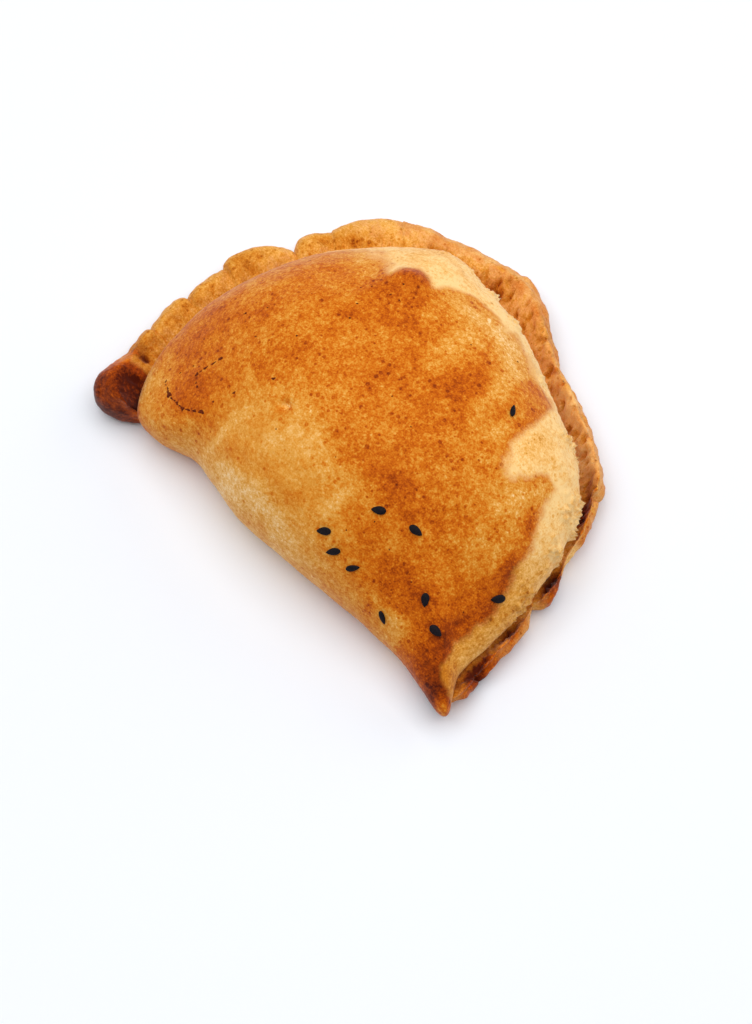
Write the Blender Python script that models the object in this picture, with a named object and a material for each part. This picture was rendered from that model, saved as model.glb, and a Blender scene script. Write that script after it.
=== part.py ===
"""A baked empanada: a half-moon of dough folded along one straight side and crimped along the other.

Sizes are in millimetres here and the finished mesh is in metres. +Z is up and the flat underside
rests on z = 0. +X runs along the fold, from the turned-over tail of the seam to the pinched tip,
and +Y points from the fold towards the crimped curve. The origin is below the middle.

The skin is one closed surface made of rings, and each ring goes once round the pastry. The first
rings climb down the filled dome, the next ones follow the lip, the thumb groove, the crest and the
outer edge of the crimped rim, and the last ones close the flat underside.
"""

import math

import bmesh
import bpy
import numpy as np

MM = 0.001

# Height of the filled dome, and of the line where its sides stand upright.
DOME_TOP = 42.0
WIDEST_AT = 13.0
DOME_POLE = (0.0, -6.0)
# How broad the dome's top is: a larger power keeps it level further out.
DOME_BREADTH = 2.4
# Near its top the dome is rounder than its outline: only this many turns of the outline are left.
ROUND_TURNS = 2

# The dome's outline in plan, counterclockwise from the pinched tip: curved side, then fold.
DOME_OUTLINE = [
    (64.0, -47.7), (59.3, -38.8), (59.2, -27.5), (58.2, -15.0), (55.0, 1.0), (47.9, 14.0),
    (36.6, 22.2), (23.6, 28.4), (7.8, 34.8), (-7.5, 37.5), (-19.2, 38.8), (-28.0, 33.4),
    (-37.2, 24.0), (-46.3, 11.6), (-52.7, -5.8), (-55.0, -20.0), (-53.8, -35.0),
    (-47.4, -46.4), (-38.0, -48.2), (-27.5, -45.6), (-18.0, -47.2), (-6.0, -49.0),
    (12.0, -48.0), (30.0, -46.3), (46.0, -45.9), (56.0, -47.4),
]

# The crimps, counterclockwise. Each has the notch where it starts (x, y), how far its crown stands
# out from the line to the next notch, where along that line the crown is (0 to 1), how blunt the
# crown is (a smaller power is blunter), and how high its crest is.
CRIMPS = [
    (64.2, -47.7, 0.9, 0.55, 0.7, 8.5),
    (62.4, -35.2, 1.2, 0.50, 0.8, 9.5),
    (60.3, -11.6, 2.2, 0.45, 0.45, 10.5),
    (49.4, 19.3, 3.6, 0.23, 1.35, 11.0),
    (17.6, 40.4, 3.5, 0.70, 0.8, 10.5),
    (-12.0, 51.8, 0.5, 0.65, 1.0, 10.0),
    (-29.6, 46.8, 0.9, 0.48, 0.8, 10.5),
    (-41.8, 41.0, 2.5, 0.45, 0.6, 10.5),
    (-52.3, 25.7, 2.3, 0.52, 0.7, 10.0),
    (-55.5, 15.1, 3.3, 0.56, 0.75, 10.5),
    (-64.3, -1.8, 0.8, 0.58, 0.9, 10.0),
    (-64.2, -15.0, 2.1, 0.36, 0.7, 10.0),
    (-63.2, -28.4, 1.0, 0.30, 0.8, 11.0),
    (-62.0, -36.4, 10.2, 0.58, 0.55, 14.0),
]
SEAM_END = (-47.2, -46.4)

# The rim's section: heights, parts of the widest line's height, and places as parts of the rim's
# width from the dome to the outer edge.
NOTCH_CREST = 8.4
LIP_PART, LIP_UNDERCUT = 0.78, 0.9
GROOVE_PART, GROOVE_UNDERCUT = 0.55, 1.6
VALLEY_AT, VALLEY_PLACE = 7.6, 0.28
CREST_PLACE = 0.66
BROW_DROP, BROW_INSET = 1.1, 1.2
EDGE_PART_OF_CREST = 0.60
UNDER_AT, UNDER_INSET = 2.4, 1.6
FOOT_AT, FOOT_INSET = 0.9, 1.0
# The fold is a quarter round down to the flat base.
FOLD_ROUNDING = 8.0
# A rim narrower than the first width counts as no rim, and beyond the second as a full one.
RIM_FADES = (0.5, 4.0)

# The line inside the pastry that its sides lean in towards.
SPINE = ((-34.0, -16.0), (44.0, -26.0))

# Where the filling thins out towards both ends of the seam: x, y, reach and share of height lost.
THIN_ENDS = [(-56.0, -50.0, 30.0, 0.42), (66.0, -50.0, 34.0, 0.50)]
# The widest line sinks there too, by this part of the dome's own loss.
WIDEST_SINKS = 0.8
# Soft swells and dents of the crust over the filling: x, y, reach and height.
SWELLS = [
    (-15.0, 16.0, 7.0, 2.0),
    (20.0, 6.0, 15.0, 0.9),
    (-36.0, -8.0, 14.0, 0.8),
    (6.0, -26.0, 18.0, 0.9),
    (42.0, -12.0, 12.0, 0.9),
    (-22.0, -37.0, 10.0, -1.4),
    (30.0, -38.0, 9.0, -0.7),
    (2.0, 24.0, 9.0, -0.8),
]

# Fineness of the mesh.
OUTLINE_SAMPLES = 6000
RIM_STEP = 3.0
# Columns gather towards the notches, where the edge turns fastest.
NOTCH_GATHER = 0.08
FOLD_STEP = 4.6
DOME_RINGS = 12
SIDE_RINGS = 15
BASE_RINGS = 2
SHARP_ANGLE = math.radians(55.0)

CRUST_COLOUR = (0.62, 0.29, 0.075, 1.0)
CRUST_ROUGHNESS = 0.6


def clear_scene():
    """Remove whatever objects the scene holds."""
    for item in list(bpy.data.objects):
        bpy.data.objects.remove(item, do_unlink=True)


def fade(low, high, value):
    """Go smoothly from 0 at low to 1 at high."""
    part = np.clip((value - low) / (high - low), 0.0, 1.0)
    return part * part * (3.0 - 2.0 * part)


def spline(before, start, end, after, part):
    """Catmull-Rom curve from start (part 0) to end (part 1)."""
    return 0.5 * (
        2.0 * start
        + (end - before) * part
        + (2.0 * before - 5.0 * start + 4.0 * end - after) * part**2
        + (3.0 * start - before - 3.0 * end + after) * part**3
    )


def closed_outline(points, samples):
    """Evenly spaced samples of the closed smooth curve through the points, and their spacing."""
    points = np.asarray(points, float)
    place = np.linspace(0.0, len(points), samples + 1)
    first = np.floor(place).astype(int)
    part = (place - first)[:, None]
    corners = [points[(first + shift) % len(points)] for shift in (-1, 0, 1, 2)]
    curve = spline(*corners, part)
    steps = np.hypot(*np.diff(curve, axis=0).T)
    travelled = np.concatenate([[0.0], np.cumsum(steps)])
    even = np.linspace(0.0, travelled[-1], samples, endpoint=False)
    samples_xy = [np.interp(even, travelled, curve[:, axis]) for axis in (0, 1)]
    return np.column_stack(samples_xy), travelled[-1] / samples


def columns_of_crimp(crimp, next_notch):
    """Outer points and crest heights along one crimp, from its notch up to the next one."""
    x, y, crown, place, blunt, height = crimp
    start = np.array([x, y])
    along = np.array(next_notch) - start
    length = np.hypot(*along)
    columns = max(4, round((length + crown) / RIM_STEP))
    even = np.arange(columns) / columns
    part = even - NOTCH_GATHER * np.sin(2.0 * math.pi * even)
    leaned = part ** (math.log(0.5) / math.log(place))
    lobe = 4.0 * leaned * (1.0 - leaned)
    outward = np.array([along[1], -along[0]]) / length
    outer = start + part[:, None] * along + (crown * lobe**blunt)[:, None] * outward
    return outer, NOTCH_CREST + (height - NOTCH_CREST) * np.sqrt(lobe)


def plan_columns():
    """The columns of the mesh in plan: dome point, outer point of the rim and crest height.

    Every notch gets a column of its own, and its crease runs to the nearest point of the dome.
    Along the fold there is no rim, so the outer point is the dome point itself.
    """
    body, spacing = closed_outline(DOME_OUTLINE, OUTLINE_SAMPLES)
    notches = [crimp[:2] for crimp in CRIMPS] + [SEAM_END]
    marks = [int(np.argmin(np.hypot(*(body - notch).T))) for notch in notches]

    def stretch(start, end, columns):
        span = (end - start) % len(body)
        steps = np.arange(columns) * span // columns
        return body[(start + steps) % len(body)]

    inner, outer, crest = [], [], []
    for number, crimp in enumerate(CRIMPS):
        edge, height = columns_of_crimp(crimp, notches[number + 1])
        inner.append(stretch(marks[number], marks[number + 1], len(edge)))
        outer.append(edge)
        crest.append(height)
    fold_length = (marks[0] - marks[-1]) % len(body) * spacing
    folded = stretch(marks[-1], marks[0], round(fold_length / FOLD_STEP))
    inner.append(folded)
    outer.append(folded)
    crest.append(np.full(len(folded), NOTCH_CREST))
    return np.vstack(inner), np.vstack(outer), np.concatenate(crest)


def mounds(plan, places):
    """Sum of soft round mounds at each plan point; each place is x, y, reach and height."""
    total = np.zeros(len(plan))
    for x, y, reach, height in places:
        away = (plan[:, 0] - x) ** 2 + (plan[:, 1] - y) ** 2
        total += height * np.exp(-away / reach**2)
    return total


def widest_height(body):
    """Height of the widest line, lower towards both ends of the seam."""
    return WIDEST_AT * (1.0 - WIDEST_SINKS * mounds(body, THIN_ENDS))


def rounded(body):
    """The outline with only its slowest turns left: a plain egg shape."""
    turns = np.fft.fft(body[:, 0] + 1j * body[:, 1])
    turns[ROUND_TURNS + 1 : len(turns) - ROUND_TURNS] = 0.0
    egg = np.fft.ifft(turns)
    return np.column_stack([egg.real, egg.imag])


def dome_ring(body, part):
    """One ring of the dome, part of the way (0 to 1) from its pole out to its widest line."""
    pole = np.array(DOME_POLE)
    egg = rounded(body)
    outline = egg + part**2 * (body - egg)
    plan = pole + part * (outline - pole)
    top = DOME_TOP * (1.0 - mounds(plan, THIN_ENDS)) + mounds(plan, SWELLS)
    low = widest_height(body)
    rise = math.sqrt(max(0.0, 1.0 - part**DOME_BREADTH))
    return np.column_stack([plan, low + (top - low) * rise])


def towards_spine(body):
    """Unit vectors from each point straight to the nearest point of the spine."""
    start, end = (np.array(point) for point in SPINE)
    along = end - start
    part = np.clip((body - start) @ along / (along @ along), 0.0, 1.0)
    inward = start + part[:, None] * along - body
    return inward / np.hypot(*inward.T)[:, None]


def side_keys(width, crest, widest):
    """Keys of the side's section for each column: distance out from the dome, and height.

    With a rim: lip, thumb groove, valley, crest, brow, outer edge, underside and foot.
    Along the fold: a quarter round. In between, the two blend with the rim's width.
    """
    level = np.ones_like(width)
    rim = [
        (0.0 * level, widest),
        (-LIP_UNDERCUT * level, LIP_PART * widest),
        (-GROOVE_UNDERCUT * level, GROOVE_PART * widest),
        (VALLEY_PLACE * width, VALLEY_AT * level),
        (CREST_PLACE * width, crest),
        (width - BROW_INSET, crest - BROW_DROP),
        (width, EDGE_PART_OF_CREST * crest),
        (width - UNDER_INSET, UNDER_AT * level),
        (-FOOT_INSET * level, FOOT_AT * level),
        (-FOLD_ROUNDING * level, 0.0 * level),
    ]
    turn = np.linspace(0.0, math.pi / 2.0, len(rim))
    shape = fade(*RIM_FADES, width)
    keys = []
    for angle, (out, height) in zip(turn, rim):
        round_out = FOLD_ROUNDING * (math.cos(angle) - 1.0)
        round_height = widest * (1.0 - math.sin(angle))
        keys.append(
            np.column_stack(
                [
                    shape * out + (1.0 - shape) * round_out,
                    shape * height + (1.0 - shape) * round_height,
                ]
            )
        )
    return keys


def side_rings(body, outer, crest):
    """The rings down the side: each key is joined to the next by a smooth curve."""
    across = outer - body
    width = np.hypot(*across.T)
    inward = towards_spine(body)
    keys = side_keys(width, crest, widest_height(body))
    keys = [keys[0] + (0.0, 3.0)] + keys + [keys[-1] - (3.0, 0.0)]
    spans = len(keys) - 3
    rings = []
    for place in np.linspace(0.0, spans, SIDE_RINGS + 1)[1:]:
        first = min(int(place), spans - 1)
        section = spline(*keys[first : first + 4], place - first)
        out = section[:, :1]
        share = out / np.maximum(width, MM)[:, None]
        plan = np.where(out > 0.0, body + share * across, body - out * inward)
        rings.append(np.column_stack([plan, np.maximum(section[:, 1], 0.0)]))
    rings[-1][:, 2] = 0.0
    return rings


def all_rings():
    """Every ring of the skin, from the top of the dome to the middle of the underside.

    The origin is moved to the middle of the pastry's length and breadth.
    """
    body, outer, crest = plan_columns()
    climb = np.sin(np.linspace(0.0, math.pi / 2.0, DOME_RINGS + 1))[1:]
    rings = [dome_ring(body, part) for part in climb]
    rings += side_rings(body, outer, crest)
    foot = rings[-1]
    centre = np.array([*DOME_POLE, 0.0])
    for number in range(1, BASE_RINGS + 1):
        rings.append(foot + number / (BASE_RINGS + 1) * (centre - foot))
    everything = np.vstack(rings)
    middle = (everything.min(axis=0) + everything.max(axis=0)) / 2.0
    return [ring - (middle[0], middle[1], 0.0) for ring in rings]


def ring_edges(bm, ring):
    """Add one closed ring to the mesh and give back its edges."""
    verts = [bm.verts.new(point) for point in ring * MM]
    return [bm.edges.new((first, second)) for first, second in zip(verts, verts[1:] + verts[:1])]


def close_middle(bm, edges):
    """Close the innermost ring with a fan of triangles round its middle."""
    made = bmesh.ops.contextual_create(bm, geom=edges)
    bmesh.ops.poke(bm, faces=made["faces"])


def build_skin():
    """Bridge the rings into one closed surface with its faces pointing out."""
    bm = bmesh.new()
    loops = [ring_edges(bm, ring) for ring in all_rings()]
    for upper, lower in zip(loops, loops[1:]):
        bmesh.ops.bridge_loops(bm, edges=upper + lower)
    close_middle(bm, loops[0])
    close_middle(bm, loops[-1])
    bmesh.ops.recalc_face_normals(bm, faces=bm.faces)
    mesh = bpy.data.meshes.new("empanada")
    bm.to_mesh(mesh)
    bm.free()
    return mesh


def crust_material():
    """Baked golden-brown dough."""
    material = bpy.data.materials.new("crust")
    material.use_nodes = True
    surface = material.node_tree.nodes["Principled BSDF"]
    surface.inputs["Base Color"].default_value = CRUST_COLOUR
    surface.inputs["Roughness"].default_value = CRUST_ROUGHNESS
    surface.inputs["Metallic"].default_value = 0.0
    return material


def main():
    clear_scene()
    mesh = build_skin()
    mesh.shade_smooth()
    mesh.set_sharp_from_angle(angle=SHARP_ANGLE)
    mesh.materials.append(crust_material())
    empanada = bpy.data.objects.new("empanada", mesh)
    bpy.context.scene.collection.objects.link(empanada)


main()
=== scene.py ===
"""The looks of a baked empanada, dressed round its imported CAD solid.

The crust stands for the CAD node and follows the same named sizes, on a finer net: the lip over
the thumb groove is torn, the crimps are pleated and pitted, and the dome has its low blisters.
Black sesame seeds and burnt flecks lie on it. Sizes are in millimetres in the part's drawing
coordinates: +X along the fold towards the pinched tip, +Y towards the crimped curve, +Z up from
the board. The finished meshes are in metres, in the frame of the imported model.
"""

import itertools
import logging
import math
from dataclasses import dataclass, field
from enum import Enum

import bpy
import numpy as np
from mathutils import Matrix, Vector
from mathutils.bvhtree import BVHTree


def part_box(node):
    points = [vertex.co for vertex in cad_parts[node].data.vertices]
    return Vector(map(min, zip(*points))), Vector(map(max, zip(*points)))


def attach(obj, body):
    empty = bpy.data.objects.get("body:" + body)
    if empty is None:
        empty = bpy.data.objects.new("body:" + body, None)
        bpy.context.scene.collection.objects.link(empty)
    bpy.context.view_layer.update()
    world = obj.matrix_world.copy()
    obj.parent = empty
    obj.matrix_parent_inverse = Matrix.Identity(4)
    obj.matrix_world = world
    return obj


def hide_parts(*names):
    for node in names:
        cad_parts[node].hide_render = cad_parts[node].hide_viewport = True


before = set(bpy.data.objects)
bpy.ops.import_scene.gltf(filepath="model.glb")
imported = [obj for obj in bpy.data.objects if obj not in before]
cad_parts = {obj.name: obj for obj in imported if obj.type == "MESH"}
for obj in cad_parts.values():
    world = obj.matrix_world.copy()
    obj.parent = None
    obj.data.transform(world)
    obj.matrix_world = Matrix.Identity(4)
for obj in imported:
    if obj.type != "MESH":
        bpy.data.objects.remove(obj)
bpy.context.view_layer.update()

LOG = logging.getLogger("empanada")
MM = 0.001
NODE = "empanada"
BODY = "root"

Array = np.ndarray


# ---------------------------------------------------------------------------------------------
# Small helpers: numbers, noise, meshes and nodes
# ---------------------------------------------------------------------------------------------


def linear(colour: str) -> tuple[float, float, float, float]:
    """Turn an sRGB hex colour into linear red, green, blue and a full alpha.

    Args:
        colour: Six hex digits, such as "c87828".

    Returns:
        The four values that a colour socket takes.
    """
    parts = [int(colour[at : at + 2], 16) / 255.0 for at in (0, 2, 4)]
    return (*(v / 12.92 if v <= 0.04045 else ((v + 0.055) / 1.055) ** 2.4 for v in parts), 1.0)


def fade(low: float, high: float, value: Array) -> Array:
    """Go smoothly from 0 at low to 1 at high (a cubic with level ends).

    Args:
        low: Value at which the result leaves 0.
        high: Value at which the result reaches 1; it may be below low.
        value: Values to map.

    Returns:
        The mapped values.
    """
    part = np.clip((value - low) / (high - low), 0.0, 1.0)
    return part * part * (3.0 - 2.0 * part)


def spline(before: Array, start: Array, end: Array, after: Array, part: Array) -> Array:
    """Catmull-Rom curve: it passes start at part 0 and end at part 1, heading along its neighbours.

    Args:
        before: Point before the start.
        start: Point where the stretch starts.
        end: Point where it ends.
        after: Point after the end.
        part: Place along the stretch, 0 to 1.

    Returns:
        Points of the curve.
    """
    return 0.5 * (
        2.0 * start
        + (end - before) * part
        + (2.0 * before - 5.0 * start + 4.0 * end - after) * part**2
        + (3.0 * start - before - 3.0 * end + after) * part**3
    )


class Grain:
    """Smooth gradient noise in space, which gives dough its uneven rise. It is the same each run."""

    def __init__(self, seed: int) -> None:
        """Draw the lattice's slopes.

        Args:
            seed: Start of the random draw.
        """
        draw = np.random.default_rng(seed)
        slopes = draw.normal(size=(256, 3))
        self.slopes = slopes / np.linalg.norm(slopes, axis=1)[:, None]
        self.order = draw.permutation(256)

    def at(self, points: Array, size: float) -> Array:
        """Noise of about -1 to 1: each lattice corner's slope, blended by a quintic over its cell.

        Args:
            points: Places in millimetres, one row each.
            size: Spacing of the lumps in millimetres.

        Returns:
            One value per point.
        """
        scaled = points / size
        cell = np.floor(scaled).astype(int)
        inside = scaled - cell
        ease = inside**3 * (inside * (inside * 6.0 - 15.0) + 10.0)
        total = np.zeros(len(points))
        for corner in itertools.product((0, 1), repeat=3):
            x, y, z = ((cell + corner) % 256).T
            pick = self.order[(self.order[(self.order[x] + y) % 256] + z) % 256]
            rise = ((inside - corner) * self.slopes[pick]).sum(axis=1)
            total += rise * np.prod(np.where(corner, ease, 1.0 - ease), axis=1)
        return 1.7 * total


@dataclass(frozen=True)
class Spot:
    """A soft oval place on the crust, in plan.

    Attributes:
        x: Middle along the fold.
        y: Middle across it.
        length: Half-length along its own long axis, where it has faded to 37%.
        width: Half-width across it.
        turn: Angle of the long axis from +X, in degrees.
        amount: Height at its middle, in whatever the spot adds to.
    """

    x: float
    y: float
    length: float
    width: float
    turn: float
    amount: float

    def over(self, plan: Array) -> Array:
        """The spot's amount at each plan point: a bell over the ellipse's own distance."""
        angle = math.radians(self.turn)
        away = plan[:, :2] - (self.x, self.y)
        along = away @ (math.cos(angle), math.sin(angle)) / self.length
        across = away @ (-math.sin(angle), math.cos(angle)) / self.width
        return self.amount * np.exp(-(along**2 + across**2))


def sum_of(spots: list[Spot], plan: Array) -> Array:
    """Sum of the spots at each plan point."""
    return sum((spot.over(plan) for spot in spots), np.zeros(len(plan)))


def signed_distance(plan: Array, outline: Array) -> Array:
    """Distance to a closed outline, positive outside it and negative inside.

    The distance is the least over the outline's segments, and a point is inside where the outline
    crosses the ray to its right an odd number of times.

    Args:
        plan: Plan points.
        outline: Corners of the closed outline.

    Returns:
        One distance per point, in millimetres.
    """
    least = np.full(len(plan), np.inf)
    inside = np.zeros(len(plan), bool)
    for start, end in zip(outline, np.roll(outline, -1, axis=0)):
        span = end - start
        part = np.clip((plan - start) @ span / (span @ span), 0.0, 1.0)
        least = np.minimum(least, np.hypot(*(plan - start - part[:, None] * span).T))
        crosses = (start[1] > plan[:, 1]) != (end[1] > plan[:, 1])
        with np.errstate(divide="ignore", invalid="ignore"):
            at_x = start[0] + (plan[:, 1] - start[1]) * span[0] / span[1]
        inside ^= crosses & (plan[:, 0] < at_x)
    return np.where(inside, -least, least)


def mesh_object(name: str, points: Array, faces: list[tuple[int, ...]]) -> bpy.types.Object:
    """Make a smooth-shaded mesh object at the origin.

    Args:
        name: Name of the object and of its mesh.
        points: Vertices in metres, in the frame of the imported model.
        faces: Vertex numbers of each face, counterclockwise from outside.

    Returns:
        The object, linked to the scene.
    """
    mesh = bpy.data.meshes.new(name)
    mesh.from_pydata(points.tolist(), [], faces)
    mesh.update()
    mesh.shade_smooth()
    item = bpy.data.objects.new(name, mesh)
    bpy.context.scene.collection.objects.link(item)
    return item


def add_field(item: bpy.types.Object, name: str, values: Array) -> None:
    """Store one number per vertex, for the finish to read by name.

    Args:
        item: The mesh object.
        name: Name of the attribute.
        values: One number per vertex.
    """
    layer = item.data.attributes.new(name, "FLOAT", "POINT")
    layer.data.foreach_set("value", np.asarray(values, np.float32))


def add_node(
    tree: bpy.types.NodeTree, kind: str, sockets: dict | None = None, **settings: object
) -> bpy.types.Node:
    """Add a node with its settings, values and links.

    Args:
        tree: Node tree that gets it.
        kind: Blender's type name of the node.
        sockets: For each input, by name or number, an output to link or a value to set.
        settings: Properties of the node itself.

    Returns:
        The node.
    """
    made = tree.nodes.new(kind)
    for name, value in settings.items():
        setattr(made, name, value)
    for key, value in (sockets or {}).items():
        if isinstance(value, bpy.types.NodeSocket):
            tree.links.new(value, made.inputs[key])
        else:
            made.inputs[key].default_value = value
    return made


def set_stops(ramp: bpy.types.Node, stops: list[tuple[float, str]]) -> None:
    """Give a colour ramp its stops.

    Args:
        ramp: The ramp node.
        stops: Place (0 to 1) and sRGB hex colour of each, in order.
    """
    elements = ramp.color_ramp.elements
    while len(elements) < len(stops):
        elements.new(1.0)
    for element, (place, colour) in zip(elements, stops):
        element.position = place
        element.color = linear(colour)


# ---------------------------------------------------------------------------------------------
# Finishes
# ---------------------------------------------------------------------------------------------


@dataclass(frozen=True)
class BakedCrust:
    """Wheat dough glazed with egg and baked: dull, pebbled and browned unevenly.

    To the eye it goes from cream where it was shaded by the fold, through gold, to red-brown where
    the heat was strongest. The vertex field of the bake level says how far, from 0 to 1; it also
    carries painted shade in the rim's gap, dents and hollows and in the troughs of the wrinkles,
    and painted light on the wrinkles' crests and along the fold edge. `cream` is the distance in
    millimetres outside the edge of the browned area; on the rim it is lowered in the gap and the
    hollows as painted shade. `grain` is the strength of the mottling.
    """

    # Bake level, in quarters more than the field's, and colour of the crust there.
    browning: tuple[tuple[float, str], ...] = (
        (0.00, "fcd49a"),
        (0.12, "f1b765"),
        (0.24, "e59e3e"),
        (0.36, "db8522"),
        (0.46, "d16d0a"),
        (0.57, "c05802"),
        (0.71, "9c3e00"),
        (1.00, "501400"),
    )
    # The same for dough that stayed out of the glaze: cream, then tan.
    unglazed: tuple[tuple[float, str], ...] = (
        (0.00, "ffd48e"),
        (0.18, "f6b964"),
        (0.34, "e29c3c"),
        (0.52, "cc7a1a"),
        (0.75, "9e4c0c"),
        (1.00, "5a1c02"),
    )
    roughness: float = 0.60
    specular: float = 0.06
    sheen: float = 0.13
    # Sizes in millimetres: mottling of the bran, patches of browning, pebbles of the surface.
    mottle: float = 1.1
    patch: float = 4.2
    pebble: float = 0.8
    blister: float = 0.9
    scorch: float = 1.6

    def material(self) -> bpy.types.Material:
        """Build the node material."""
        made = bpy.data.materials.new("baked_wheat_crust")
        made.use_nodes = True
        tree = made.node_tree
        shader = tree.nodes["Principled BSDF"]
        place = add_node(tree, "ShaderNodeTexCoord").outputs["Object"]

        def field_of(name: str) -> bpy.types.NodeSocket:
            """Output of the vertex field of that name."""
            return add_node(tree, "ShaderNodeAttribute", attribute_name=name).outputs["Fac"]

        def sums(kind: str, first: object, second: object, third: object = 0.0):
            """Output of one step of arithmetic on two or three values."""
            sockets = {0: first, 1: second, 2: third}
            return add_node(tree, "ShaderNodeMath", sockets, operation=kind).outputs[0]

        def lumps(size: float, detail: float) -> bpy.types.NodeSocket:
            """Noise of that lump size in millimetres, about -0.5 to 0.5."""
            sockets = {"Vector": place, "Scale": 1.0 / (size * MM), "Detail": detail}
            made_noise = add_node(tree, "ShaderNodeTexNoise", sockets)
            return sums("SUBTRACT", made_noise.outputs["Fac"], 0.5)

        fine = lumps(self.mottle, 2.0)
        broad = lumps(self.patch, 3.0)
        tiny = lumps(self.pebble * 0.5, 1.0)

        # Pinhead blisters stay paler than the skin round them, and a few of them scorch.
        cells = {"Vector": place, "Scale": 1.0 / (self.blister * MM)}
        blisters = add_node(tree, "ShaderNodeTexVoronoi", cells)
        pinhead = add_node(
            tree, "ShaderNodeMapRange",
            {"Value": blisters.outputs["Distance"], "From Min": 0.10, "From Max": 0.42,
             "To Min": -0.11, "To Max": 0.02},
        ).outputs["Result"]
        cells = {"Vector": place, "Scale": 1.0 / (self.scorch * MM)}
        scorches = add_node(tree, "ShaderNodeTexVoronoi", cells)
        few = add_node(
            tree, "ShaderNodeSeparateColor", {"Color": scorches.outputs["Color"]}
        ).outputs["Red"]
        reach = sums("MULTIPLY_ADD", broad, 0.60, sums("MULTIPLY_ADD", few, 0.48, -0.25))
        ragged = sums("MULTIPLY_ADD", fine, 0.45, scorches.outputs["Distance"])
        scorched = add_node(
            tree, "ShaderNodeMapRange",
            {"Value": sums("SUBTRACT", ragged, reach),
             "From Min": 0.0, "From Max": 0.14, "To Min": 0.28, "To Max": 0.0},
        ).outputs["Result"]

        mottling = sums("MULTIPLY_ADD", broad, 0.55, sums("MULTIPLY", fine, 0.72))
        mottling = sums("MULTIPLY_ADD", tiny, 0.6, mottling)
        mottling = sums("ADD", sums("ADD", mottling, pinhead), scorched)
        level = sums("MULTIPLY_ADD", mottling, field_of("grain"), field_of("bake_and_painted_light"))
        ramp = add_node(tree, "ShaderNodeValToRGB", {"Fac": sums("MULTIPLY", level, 0.75)})
        set_stops(ramp, list(self.browning))

        edge = sums("MULTIPLY_ADD", broad, 3.2, field_of("cream"))
        edge = sums("MULTIPLY_ADD", fine, 1.2, edge)
        cream = add_node(
            tree, "ShaderNodeMapRange", {"Value": edge, "From Min": -0.9, "From Max": 1.1},
            interpolation_type="SMOOTHSTEP",
        ).outputs["Result"]
        pale_level = sums("MULTIPLY_ADD", field_of("bake_and_painted_light"), 0.75, -0.36)
        pale_level = sums("MULTIPLY_ADD", mottling, 0.75, pale_level)
        pale_ramp = add_node(tree, "ShaderNodeValToRGB", {"Fac": pale_level})
        set_stops(pale_ramp, list(self.unglazed))
        colour = add_node(
            tree, "ShaderNodeMix",
            {0: cream, 6: ramp.outputs["Color"], 7: pale_ramp.outputs["Color"]},
            data_type="RGBA",
        ).outputs[2]
        tree.links.new(colour, shader.inputs["Base Color"])

        rough = sums("MULTIPLY_ADD", fine, 0.25, self.roughness)
        tree.links.new(rough, shader.inputs["Roughness"])
        shader.inputs["Specular IOR Level"].default_value = self.specular
        shader.inputs["Sheen Weight"].default_value = self.sheen
        shader.inputs["Sheen Roughness"].default_value = 0.45

        height = sums("MULTIPLY_ADD", lumps(self.pebble, 2.0), 1.0, sums("MULTIPLY", fine, 0.6))
        bump = add_node(
            tree, "ShaderNodeBump", {"Height": height, "Strength": 0.44, "Distance": 0.28 * MM}
        )
        tree.links.new(bump.outputs["Normal"], shader.inputs["Normal"])
        return made


@dataclass(frozen=True)
class BlackSesame:
    """Black sesame hull: almost black with a faint purple, and a dull skin that catches the light."""

    colour: str = "0c080d"
    roughness: float = 0.7

    def material(self) -> bpy.types.Material:
        """Build the node material."""
        made = bpy.data.materials.new("black_sesame_hull")
        made.use_nodes = True
        tree = made.node_tree
        shader = tree.nodes["Principled BSDF"]
        place = add_node(tree, "ShaderNodeTexCoord").outputs["Object"]
        noise = add_node(tree, "ShaderNodeTexNoise", {"Vector": place, "Scale": 1.0 / (0.5 * MM)})
        ramp = add_node(tree, "ShaderNodeValToRGB", {"Fac": noise.outputs["Fac"]})
        set_stops(ramp, [(0.3, self.colour), (0.8, "1c161e")])
        shader.inputs["Specular IOR Level"].default_value = 0.15
        tree.links.new(ramp.outputs["Color"], shader.inputs["Base Color"])
        shader.inputs["Roughness"].default_value = self.roughness
        bump = add_node(
            tree, "ShaderNodeBump",
            {"Height": noise.outputs["Fac"], "Strength": 0.4, "Distance": 0.08 * MM},
        )
        tree.links.new(bump.outputs["Normal"], shader.inputs["Normal"])
        return made


@dataclass(frozen=True)
class BurntFleck:
    """Bran and leaked glaze burnt almost black: matt specks that set off the gold crust."""

    colour: str = "521c08"
    roughness: float = 0.75

    def material(self) -> bpy.types.Material:
        """Build the node material."""
        made = bpy.data.materials.new("burnt_bran_fleck")
        made.use_nodes = True
        tree = made.node_tree
        shader = tree.nodes["Principled BSDF"]
        place = add_node(tree, "ShaderNodeTexCoord").outputs["Object"]
        noise = add_node(tree, "ShaderNodeTexNoise", {"Vector": place, "Scale": 1.0 / (0.4 * MM)})
        ramp = add_node(tree, "ShaderNodeValToRGB", {"Fac": noise.outputs["Fac"]})
        set_stops(ramp, [(0.35, self.colour), (0.8, "82340e")])
        tree.links.new(ramp.outputs["Color"], shader.inputs["Base Color"])
        shader.inputs["Roughness"].default_value = self.roughness
        shader.inputs["Specular IOR Level"].default_value = 0.08
        return made


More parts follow.
